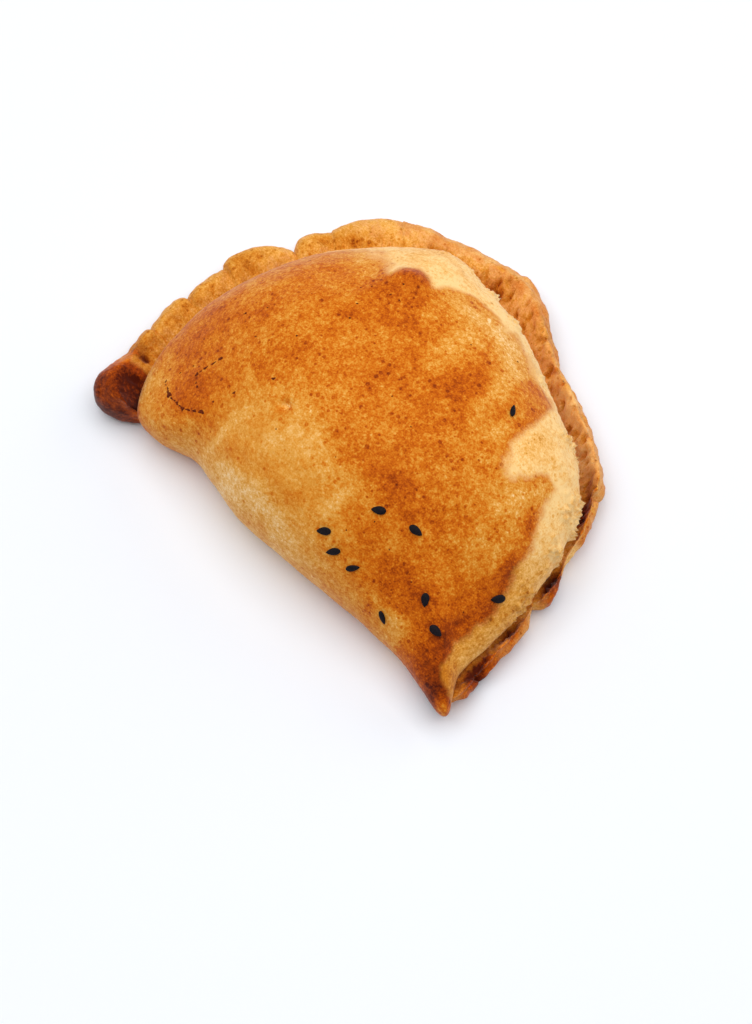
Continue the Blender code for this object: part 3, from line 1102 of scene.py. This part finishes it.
        run = column * self.net.rim_step
        moved = self.relief(points, normals, section, width, phase, run)
        moved[:, 2] = np.maximum(moved[:, 2], 0.0)
        item.data.vertices.foreach_set("co", ((moved + shift) * MM).astype(np.float32).ravel())
        item.data.update()
        self.paint(item, points, section, width, phase)
        item.data.materials.append(self.finish.material())
        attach(item, BODY)
        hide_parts(NODE)
        LOG.info("%s: %d points, %d faces", item.name, len(points), len(skin.faces))
        return DressedCrust(item, shift)

    def relief(
        self, points: Array, normals: Array, section: Array, width: Array, phase: Array, run: Array
    ) -> Array:
        """Raise and sink the skin.

        Dome and rim get sums of noises along the normal, each faded in by section. The rim also
        gets its hollows straight down, and the lip its torn edge straight out.

        Args:
            points: The smooth skin.
            normals: Its unit normals.
            section: Section value of each point.
            width: Rim width there.
            phase: Crimp number and place within it.
            run: Distance along the rim, in millimetres.

        Returns:
            The moved points.
        """
        grain = Grain(7)
        has_rim = fade(0.5, 4.0, width)
        on_dome = fade(1.6, -0.06, section) * has_rim + (1.0 - has_rim) * fade(7.0, 4.0, section)
        on_rim = fade(1.4, 2.6, section) * fade(8.0, 6.6, section) * has_rim
        height = on_dome * sum(a * grain.at(points + 11.0, s) for s, a in self.dome_relief)
        knob = self.net.within(self.net.knob, phase)
        on_rim *= 1.0 - 0.5 * knob - 0.4 * self.net.within(self.shingled, phase)
        height -= self.dent * on_rim * fade(5.4, 4.0, section) * self.dents(points, phase)
        height += on_rim * sum(a * grain.at(points - 23.0, s) for s, a in self.rim_relief)
        wall = fade(1.2, 2.2, section) * fade(4.0, 3.3, section) * has_rim * (1.0 - knob)
        strands = grain.at(np.column_stack([run, 1.2 * section, 0.0 * run]), self.pleat[0])
        height += self.pleat[1] * wall * strands
        height += on_dome * 0.5 * self.wrinkles(points)
        height += on_dome * sum_of(list(self.dome_forms), points)
        moved = points + height[:, None] * normals
        moved[:, 2] += on_rim * fade(7.5, 5.0, section) * sum_of(list(self.rim_forms), points)
        overlap = self.net.within(self.shingled, phase) * (phase % 1.0 - 0.5)
        moved[:, 2] += self.shingle * overlap * on_rim * fade(1.4, 3.4, section)

        reach = 0.075 + 0.065 * fade(-5.0, 12.0, points[:, 1])
        torn = 0.75 * fade(-reach, 0.07 - reach, section) * fade(1.3, 0.5, section) * has_rim
        torn *= fade(-30.0, -8.0, points[:, 0]) * fade(-34.0, -8.0, points[:, 1])
        ragged = 0.25 + 1.5 * fade(-0.1, 0.5, grain.at(points * (1.0, 1.0, 0.2), 6.0))
        fringe = np.abs(grain.at(points * (1.0, 1.0, 0.35), 1.15)) + 0.6 * np.abs(grain.at(points, 0.8))
        teeth = 2.2 * ragged * fringe + 0.6 * grain.at(points, 3.4)
        out = normals * (1.0, 1.0, 0.2)
        moved += (torn * teeth * 0.7)[:, None] * out
        return moved

    def wrinkles(self, points: Array) -> Array:
        """Fine folds that spread from the pinched tip, about -0.5 to 0.5."""
        towards = points[:, :2] - self.wrinkled_from
        reach = np.hypot(*towards.T)
        bearing = np.arctan2(towards[:, 1], towards[:, 0])
        folds = Grain(7).at(np.column_stack([14.0 * bearing, reach / 7.0, 0.0 * reach]), 1.0)
        return self.wrinkled.over(points) * folds

    def dents(self, points: Array, phase: Array) -> Array:
        """How deep each place lies in one of the rim's small dents, deepest behind the gap."""
        share = 0.35 + 0.65 * self.net.within(self.net.ridge, phase)
        return share * fade(0.22, 0.55, Grain(7).at(points * (1.0, 1.0, 0.5) + 5.0, 1.8))

    def paint(
        self, item: bpy.types.Object, points: Array, section: Array, width: Array, phase: Array
    ) -> None:
        """Store the fields that the finish reads.

        Args:
            item: The crust.
            points: The smooth skin in drawing coordinates.
            section: Section value of each point.
            width: Rim width there.
            phase: Crimp number and place within it.
        """
        has_rim = fade(0.5, 4.0, width)
        on_rim = fade(0.4, 2.4, section) * has_rim
        plan = points[:, :2]
        dome = 0.54 + sum_of(list(self.dome_bakes_and_light), points)
        for stroke in self.strokes:
            dome += self.stroke_bake * fade(0.9, -0.9, signed_distance(plan, np.array(stroke)))
        left = self.net.within(self.golden, phase)
        ridge = self.net.within(self.net.ridge, phase)
        inner = fade(4.2, 3.5, section)
        # Painted shade: the gap between the lip and the rim's narrow ridge is coloured darker, for the
        # shade under the lip.
        gap_shade = ridge * fade(3.2, 2.4, section) * fade(16.0, 36.0, points[:, 0])
        rim = 0.52 + 0.32 * np.maximum(left, inner) - 0.10 * inner * ridge
        rim += 0.12 * (1.0 - left) * fade(4.8, 6.0, section) + sum_of(list(self.rim_bakes), points)
        # Painted shade: the deeper the dents of the rim's inner wall, the darker they are coloured, and
        # the gap darker still.
        rim += 0.45 * inner * self.dents(points, phase) + 0.15 * gap_shade
        # Painted shade: the rim's sunk hollows are coloured darker the deeper they are.
        hollow = np.maximum(-sum_of(list(self.rim_forms), points), 0.0)
        rim += 0.16 * np.minimum(hollow, 3.0)
        tail = self.net.within(self.tail, phase)
        rim += tail * (0.45 - 0.025 * np.clip(points[:, 1] + 44.0, -5.0, 8.0))
        # Painted shade and light: the wrinkles' troughs are coloured darker and their crests paler.
        dome -= 0.30 * self.wrinkles(points)
        bake_and_painted_light = (1.0 - on_rim) * dome + on_rim * rim
        edge = signed_distance(plan, np.array(self.browned))
        back = fade(30.0, 18.0, points[:, 2]) * fade(-12.0, -26.0, points[:, 0])
        edge += back * (4.0 + 9.0 * Grain(7).at(points + 3.0, 9.0))
        cream = edge * (1.0 - sum_of(list(self.soft_edges), points))
        low_right = fade(3.2, 2.6, phase)
        # Painted shade: the gap, and the hollows outside the golden span, leave the cream ramp for the
        # darker glazed one.
        strewn = 1.0 * np.maximum(left, inner) - 0.15 - 1.6 * gap_shade - 0.45 * low_right - 6.0 * tail
        strewn -= 0.6 * np.minimum(hollow, 3.0) * (1.0 - left)
        cream += on_rim * (strewn - cream)
        golden = Spot(-4.0, -38.0, 26.0, 9.0, 0.0, 0.35).over(points)
        grain = (1.0 - on_rim) * (1.0 - golden) + on_rim * (1.0 - 0.3 * left)
        add_field(item, "bake_and_painted_light", bake_and_painted_light)
        add_field(item, "cream", cream)
        add_field(item, "grain", grain)


@dataclass
class DressedCrust:
    """The finished crust, as a ground for what lies on it.

    Attributes:
        item: Its object.
        shift: From drawing coordinates to the frame, in millimetres.
    """

    item: bpy.types.Object
    shift: Array

    def __post_init__(self) -> None:
        """Prepare the search tree."""
        mesh = self.item.data
        places = [vertex.co.copy() for vertex in mesh.vertices]
        self.tree = BVHTree.FromPolygons(places, [list(face.vertices) for face in mesh.polygons])

    def ground(self, x: float, y: float) -> tuple[Array, Array]:
        """Place and normal of the crust straight under a plan point, in frame millimetres."""
        start = Vector(((x + self.shift[0]) * MM, (y + self.shift[1]) * MM, 0.1))
        place, normal, _, _ = self.tree.ray_cast(start, Vector((0.0, 0.0, -1.0)))
        return np.array(place) / MM, np.array(normal)


# ---------------------------------------------------------------------------------------------
# What lies on the crust
# ---------------------------------------------------------------------------------------------


@dataclass
class SesameSeeds:
    """Ten black sesame seeds: flat teardrops baked a little into the crust."""

    finish: BlackSesame = field(default_factory=BlackSesame)
    # Blunt end and pointed end of each seed in plan, and its breadth as a share of a full one's.
    ends: tuple[tuple[float, float, float, float, float], ...] = (
        (28.5, 8.2, 26.4, 11.3, 0.68),
        (31.3, -27.9, 34.4, -27.3, 1.0),
        (25.0, -29.8, 22.2, -31.7, 1.0),
        (43.5, -34.6, 45.0, -36.4, 0.95),
        (49.1, -38.3, 51.9, -37.9, 1.0),
        (55.7, -20.2, 53.9, -23.3, 1.05),
        (17.8, -40.9, 15.1, -42.6, 1.0),
        (21.9, -42.1, 19.8, -43.8, 0.9),
        (25.7, -43.2, 27.8, -41.2, 0.75),
        (37.7, -43.5, 39.5, -44.2, 0.75),
    )
    length: float = 3.6
    breadth: float = 2.35
    thickness: float = 1.0
    sunk: float = 0.12

    def seed(self) -> tuple[Array, list[tuple[int, ...]]]:
        """One seed about its middle: an ellipsoid whose breadth and thickness taper to one end.

        At angle a from the blunt end, the half-breadth is sin(a) times 1 - 0.12 (1 - cos a)^2.

        Returns:
            Points and faces.
        """
        around, rows = 16, 11
        a = np.linspace(0.0, math.pi, rows + 2)[1:-1, None]
        b = np.linspace(0.0, 2.0 * math.pi, around, endpoint=False)[None]
        slim = np.sin(a) * (1.0 - 0.12 * (1.0 - np.cos(a)) ** 2)
        x = -np.cos(a) * self.length / 2.0 + 0.0 * b
        y = slim * np.cos(b) * self.breadth / 2.0
        z = slim * np.sin(b) * self.thickness / 2.0
        ends = [[-self.length / 2.0, 0.0, 0.0], [self.length / 2.0, 0.0, 0.0]]
        points = np.vstack([np.stack([x, y, z], -1).reshape(-1, 3), ends])
        faces: list[tuple[int, ...]] = []
        for row in range(rows - 1):
            for step in range(around):
                here, there = row * around + step, row * around + (step + 1) % around
                faces.append((here, there, there + around, here + around))
        last = (rows - 1) * around
        for step in range(around):
            following = (step + 1) % around
            faces.append((rows * around, following, step))
            faces.append((rows * around + 1, last + step, last + following))
        return points, faces

    def build(self, crust: DressedCrust) -> bpy.types.Object:
        """Lay every seed on the crust, in one object.

        Args:
            crust: What they lie on.

        Returns:
            The object.
        """
        draw = np.random.default_rng(3)
        shape, faces = self.seed()
        points, joined = [], []
        for x0, y0, x1, y1, share in self.ends:
            blunt, _ = crust.ground(x0, y0)
            tip, _ = crust.ground(x1, y1)
            middle, normal = crust.ground((x0 + x1) / 2.0, (y0 + y1) / 2.0)
            along = tip - blunt
            along -= normal * (along @ normal)
            along /= np.linalg.norm(along)
            across = np.cross(normal, along)
            scale = draw.uniform(0.94, 1.06, 3)
            base = middle + normal * (self.thickness / 2.0 - self.sunk)
            joined += [tuple(n + len(points) * len(shape) for n in face) for face in faces]
            points.append(base + (shape * scale * (1.0, share, 1.0)) @ np.array([along, across, normal]))
        item = mesh_object("sesame_seeds", np.vstack(points) * MM, joined)
        item.data.materials.append(self.finish.material())
        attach(item, BODY)
        LOG.info("%s: %d seeds", item.name, len(points))
        return item


@dataclass
class Flecks:
    """Burnt specks and two scratches of burnt glaze: thin irregular scabs on the crust."""

    finish: BurntFleck = field(default_factory=BurntFleck)
    # Plan place, half-length, half-width and turn of each, in millimetres and degrees.
    specks: tuple[tuple[float, float, float, float, float], ...] = (
        (17.5, 22.0, 0.26, 0.24, 0), (8.8, 14.4, 0.26, 0.22, 30), (35.4, 7.5, 0.16, 0.12, 0),
        (7.0, -10.3, 0.30, 0.22, 60), (15.6, -12.5, 0.24, 0.20, 0), (31.7, -6.0, 0.20, 0.15, 0),
        (8.0, -29.8, 0.18, 0.14, 0), (24.5, -33.0, 0.26, 0.18, 80), (30.9, -34.4, 0.24, 0.18, 0),
        (39.3, -35.3, 0.30, 0.20, 30), (51.8, -30.2, 0.24, 0.20, 0), (20.6, -38.5, 0.22, 0.2, 0),
        (-13.6, 13.5, 0.40, 0.28, 10), (-13.8, 9.4, 0.34, 0.26, 60), (-11.1, 9.7, 0.42, 0.28, 0),
        (-19.0, 8.1, 0.34, 0.24, 80), (-20.9, 6.2, 0.28, 0.2, 0), (-17.7, 1.9, 0.4, 0.24, 50),
        (-15.9, -2.3, 0.42, 0.3, 20), (-38.2, -16.5, 0.5, 0.34, 60), (-34.4, -12.5, 0.3, 0.2, 0),
        (-30.5, -20.0, 0.36, 0.24, 0), (-18.1, -25.6, 0.62, 0.4, 30), (-21.8, -14.3, 0.4, 0.26, 0),
        (-42.0, -35.6, 0.32, 0.22, 70), (-39.9, -32.9, 0.3, 0.22, 0), (-27.7, -37.1, 0.34, 0.3, 0),
        (-24.4, -33.0, 0.46, 0.34, 60), (-8.2, -34.0, 0.26, 0.2, 0),
        # Two scratches of burnt glaze.
        (-34.3, -28.5, 0.8, 0.5, 50), (-35.2, -30.2, 0.9, 0.26, 60), (-36.2, -32.0, 0.7, 0.4, 62),
        (-36.7, -33.2, 0.5, 0.2, 70), (-37.1, -34.2, 0.7, 0.5, 80), (-35.6, -35.8, 0.4, 0.24, -40),
        (-34.5, -36.4, 0.5, 0.32, 0), (-44.1, -38.8, 0.5, 0.3, -60), (-43.3, -39.5, 0.5, 0.2, -30),
        (-42.0, -40.0, 0.6, 0.24, -30), (-41.2, -40.6, 0.6, 0.4, -40), (-40.2, -41.1, 1.0, 0.7, -20),
        (-38.8, -41.5, 0.8, 0.26, -10), (-37.5, -41.6, 0.5, 0.2, 0), (-36.3, -41.8, 0.7, 0.42, -10),
        (-35.1, -41.9, 0.6, 0.2, 0), (-34.0, -42.0, 0.7, 0.52, 0), (-32.5, -41.5, 0.9, 0.22, 15),
        (-30.8, -40.9, 0.8, 0.36, 20), (-28.9, -40.2, 1.0, 0.44, 15),
    )
    proud: float = 0.05

    def build(self, crust: DressedCrust) -> bpy.types.Object:
        """Drape every fleck over the crust, in one object.

        A fleck is two oval rings round its middle, which waver with the angle; the outer ring
        dips into the crust, and a point below it closes the fleck.

        Args:
            crust: What they lie on.

        Returns:
            The object.
        """
        draw = np.random.default_rng(11)
        around = 14
        angles = np.linspace(0.0, 2.0 * math.pi, around, endpoint=False)
        points: list[Array] = []
        faces: list[tuple[int, ...]] = []
        for x, y, length, width, turn in self.specks:
            waver = 1.0 + 0.2 * np.sin(3.0 * angles + draw.uniform(0.0, 6.0))
            waver += draw.normal(0.0, 0.12, around)
            tilt = math.radians(turn)
            oval = np.column_stack([length * np.cos(angles), width * np.sin(angles)]) * waver[:, None]
            oval = oval @ [[math.cos(tilt), math.sin(tilt)], [-math.sin(tilt), math.cos(tilt)]]
            start = len(points)
            place, normal = crust.ground(x, y)
            points += [place + normal * self.proud, place - normal * 0.3]
            for reach, lift in ((0.6, self.proud), (1.0, -0.04)):
                for step_x, step_y in oval * reach:
                    place, normal = crust.ground(x + step_x, y + step_y)
                    points.append(place + normal * lift)
            for step in range(around):
                following = (step + 1) % around
                inner, inner_next = start + 2 + step, start + 2 + following
                faces.append((start, inner, inner_next))
                faces.append((inner, inner + around, inner_next + around, inner_next))
                faces.append((start + 1, inner_next + around, inner + around))
        item = mesh_object("burnt_flecks", np.array(points) * MM, faces)
        item.data.materials.append(self.finish.material())
        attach(item, BODY)
        LOG.info("%s: %d flecks", item.name, len(self.specks))
        return item


# ---------------------------------------------------------------------------------------------
# The room
# ---------------------------------------------------------------------------------------------


class Side(Enum):
    """Where a lamp stands, in metres from the pastry: right, away and up in the camera's eye."""

    OVERHEAD = (0.0, 0.0, 1.3)
    LEFT = (-0.8, 0.6, 0.9)
    RIGHT = (1.0, 0.5, 0.45)


@dataclass
class Studio:
    """White board, soft lamps and the camera."""

    board: PaleBoard = field(default_factory=PaleBoard)
    azimuth: float = 46.0
    elevation: float = 64.0
    distance: float = 605.0
    lens: float = 85.0
    # What the camera looks at, in drawing coordinates.
    aim: tuple[float, float, float] = (11.5, -20.0, 0.0)

    def build(self, shift: Array) -> None:
        """Make board, lamps, world and camera.

        Args:
            shift: From drawing coordinates to the frame, in millimetres.
        """
        size = 3000.0 * MM
        corners = np.array([[-1, -1, 0], [1, -1, 0], [1, 1, 0], [-1, 1, 0]]) * size
        floor = mesh_object("board", corners, [(0, 1, 2, 3)])
        floor.data.materials.append(self.board.material())

        azimuth, elevation = math.radians(self.azimuth), math.radians(self.elevation)
        right = Vector((math.cos(azimuth), math.sin(azimuth), 0.0))
        away = Vector((-math.sin(azimuth), math.cos(azimuth), 0.0))
        up = Vector((0.0, 0.0, 1.0))
        lamps = ((Side.OVERHEAD, 1.6, 18.2), (Side.LEFT, 1.6, 4.2), (Side.RIGHT, 1.2, 4.2))
        for side, size, power in lamps:
            towards = right * side.value[0] + away * side.value[1] + up * side.value[2]
            light = bpy.data.lights.new(f"lamp_{side.name.lower()}", "AREA")
            light.size = size
            light.energy = power
            lamp = bpy.data.objects.new(light.name, light)
            lamp.location = towards
            lamp.rotation_euler = (-towards).to_track_quat("-Z", "Y").to_euler()
            bpy.context.scene.collection.objects.link(lamp)

        world = bpy.data.worlds.new("soft_room")
        bpy.context.scene.world = world
        world.use_nodes = True
        sky = world.node_tree.nodes["Background"]
        sky.inputs["Color"].default_value = linear("f4f8ff")
        sky.inputs["Strength"].default_value = 0.2

        lens = bpy.data.cameras.new("camera")
        lens.lens = self.lens
        camera = bpy.data.objects.new("camera", lens)
        aim = Vector((np.array(self.aim) + shift) * MM)
        back = (right.cross(away) * math.sin(elevation)) - away * math.cos(elevation)
        camera.location = aim + back * self.distance * MM
        camera.rotation_euler = (-back).to_track_quat("-Z", "Y").to_euler()
        bpy.context.scene.collection.objects.link(camera)
        bpy.context.scene.camera = camera
        bpy.context.scene.view_settings.view_transform = "Standard"
        LOG.info("studio ready")


def main() -> None:
    """Build the pieces in order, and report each."""
    logging.basicConfig(level=logging.INFO, format="%(name)s: %(message)s")
    crust = Crust().build()
    SesameSeeds().build(crust)
    Flecks().build(crust)
    Studio().build(crust.shift)


if __name__ == "__main__":
    main()
